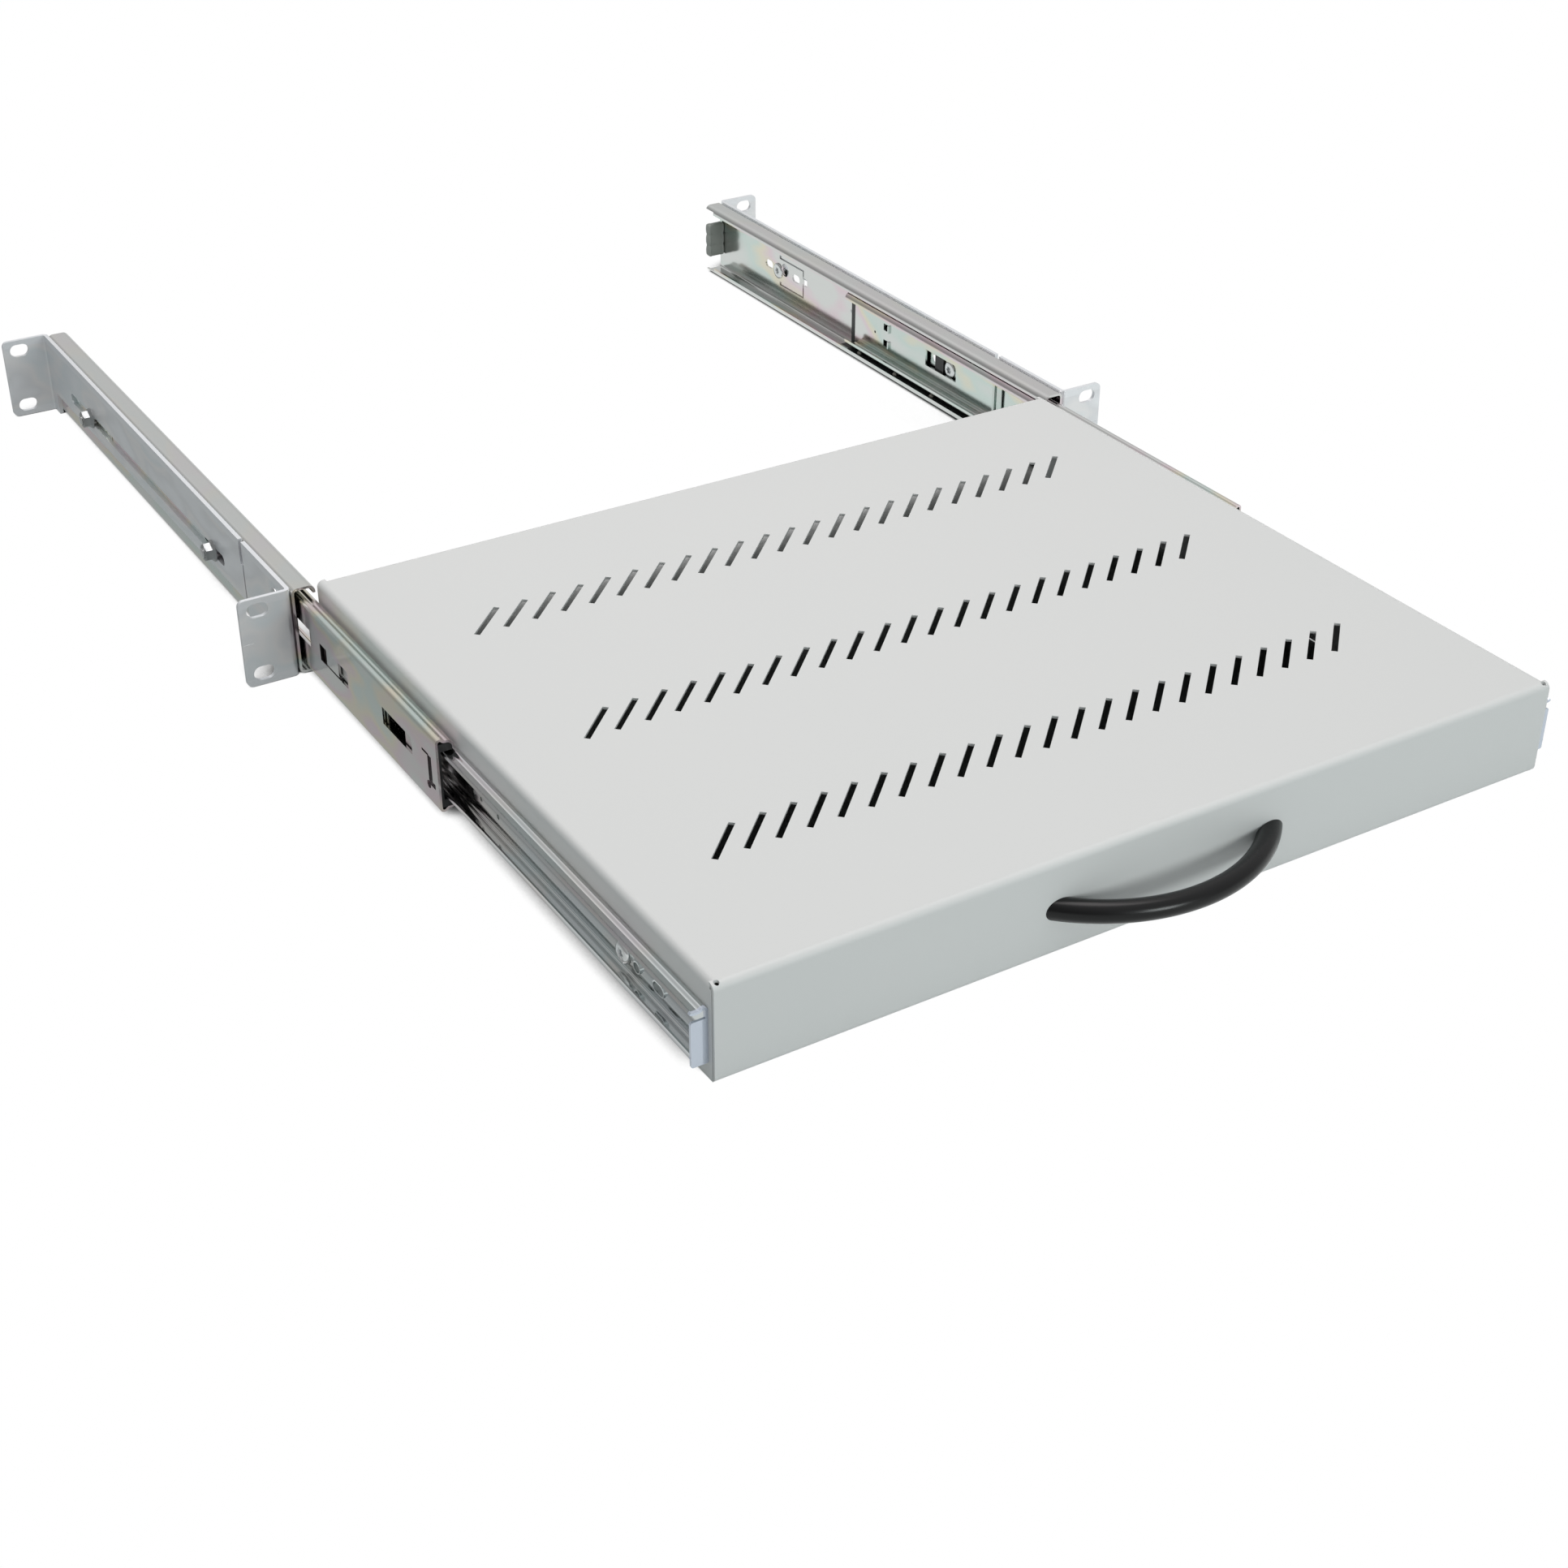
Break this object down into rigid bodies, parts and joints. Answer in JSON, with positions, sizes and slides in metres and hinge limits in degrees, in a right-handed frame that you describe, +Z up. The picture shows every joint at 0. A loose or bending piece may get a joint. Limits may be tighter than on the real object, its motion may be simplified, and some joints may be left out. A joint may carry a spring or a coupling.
{
  "type": "sliding rack shelf",
  "caption": "Slotted sheet-metal rack shelf with a bow handle, on telescopic ball-bearing slides with front ears and adjustable rear ears.",
  "frame": {"origin": "midway between the four front rack slots, on the front face of the ears", "axes": "+X to the right seen from the front, +Y to the rear of the rack, +Z up; the tray is stored fully pulled out towards -Y"},
  "size_m": [0.4826, 0.739, 0.044],
  "materials": {
    "tray_coat": "light grey powder coat, satin",
    "handle_black": "black satin coat",
    "slide_zinc": "bright zinc plated rolled steel",
    "bracket_zinc": "zinc plated sheet steel, satin",
    "fastener_zinc": "bright zinc plated",
    "ball_steel": "polished",
    "cage_black": "moulded, satin",
    "guide_black": "moulded, satin",
    "buffer_grey": "moulded, matt"
  },
  "bodies": {
    "rails": {"outer_member_left": "slide_zinc", "outer_member_right": "slide_zinc", "front_bracket_left": "bracket_zinc", "front_bracket_right": "bracket_zinc", "rear_buffer_left": "buffer_grey", "rear_buffer_right": "buffer_grey", "front_bracket_rivets": "fastener_zinc", "rear_bracket_screws": "fastener_zinc", "rear_bracket_nuts": "fastener_zinc"},
    "shelf": {"shelf_tray": "tray_coat", "pull_handle": "handle_black", "handle_screws": "fastener_zinc", "tray_screws": "fastener_zinc", "inner_member_left": "slide_zinc", "inner_member_right": "slide_zinc"},
    "middle_left": {"middle_member_left": "slide_zinc", "front_guide_left": "guide_black"},
    "outer_cage_left": {"outer_ball_cage_left": "cage_black", "outer_balls_left": "ball_steel"},
    "inner_cage_left": {"inner_ball_cage_left": "slide_zinc", "inner_balls_left": "ball_steel"},
    "rear_bracket_left": {"rear_bracket_left": "bracket_zinc"},
    "middle_right": {"middle_member_right": "slide_zinc", "front_guide_right": "guide_black"},
    "outer_cage_right": {"outer_ball_cage_right": "cage_black", "outer_balls_right": "ball_steel"},
    "inner_cage_right": {"inner_ball_cage_right": "slide_zinc", "inner_balls_right": "ball_steel"},
    "rear_bracket_right": {"rear_bracket_right": "bracket_zinc"}
  },
  "joints": [
    {"name": "shelf_slide", "type": "slide", "parent": "rails", "child": "shelf", "axis": [0, 1, 0], "range_m": [0, 0.3485]},
    {"name": "middle_left_slide", "type": "slide", "parent": "rails", "child": "middle_left", "axis": [0, 1, 0], "range_m": [0, 0.1464]},
    {"name": "outer_cage_left_slide", "type": "slide", "parent": "rails", "child": "outer_cage_left", "axis": [0, 1, 0], "range_m": [0, 0.0732]},
    {"name": "inner_cage_left_slide", "type": "slide", "parent": "rails", "child": "inner_cage_left", "axis": [0, 1, 0], "range_m": [0, 0.2475]},
    {"name": "rear_bracket_left_slide", "type": "slide", "parent": "rails", "child": "rear_bracket_left", "axis": [0, 1, 0], "range_m": [0, 0.0115]},
    {"name": "middle_right_slide", "type": "slide", "parent": "rails", "child": "middle_right", "axis": [0, 1, 0], "range_m": [0, 0.1464]},
    {"name": "outer_cage_right_slide", "type": "slide", "parent": "rails", "child": "outer_cage_right", "axis": [0, 1, 0], "range_m": [0, 0.0732]},
    {"name": "inner_cage_right_slide", "type": "slide", "parent": "rails", "child": "inner_cage_right", "axis": [0, 1, 0], "range_m": [0, 0.2475]},
    {"name": "rear_bracket_right_slide", "type": "slide", "parent": "rails", "child": "rear_bracket_right", "axis": [0, 1, 0], "range_m": [0, 0.0115]}
  ],
  "couplings": [
    {"joint": "middle_left_slide", "follows": "shelf_slide", "ratio": 0.42},
    {"joint": "outer_cage_left_slide", "follows": "shelf_slide", "ratio": 0.21},
    {"joint": "inner_cage_left_slide", "follows": "shelf_slide", "ratio": 0.71},
    {"joint": "middle_right_slide", "follows": "shelf_slide", "ratio": 0.42},
    {"joint": "outer_cage_right_slide", "follows": "shelf_slide", "ratio": 0.21},
    {"joint": "inner_cage_right_slide", "follows": "shelf_slide", "ratio": 0.71}
  ]
}
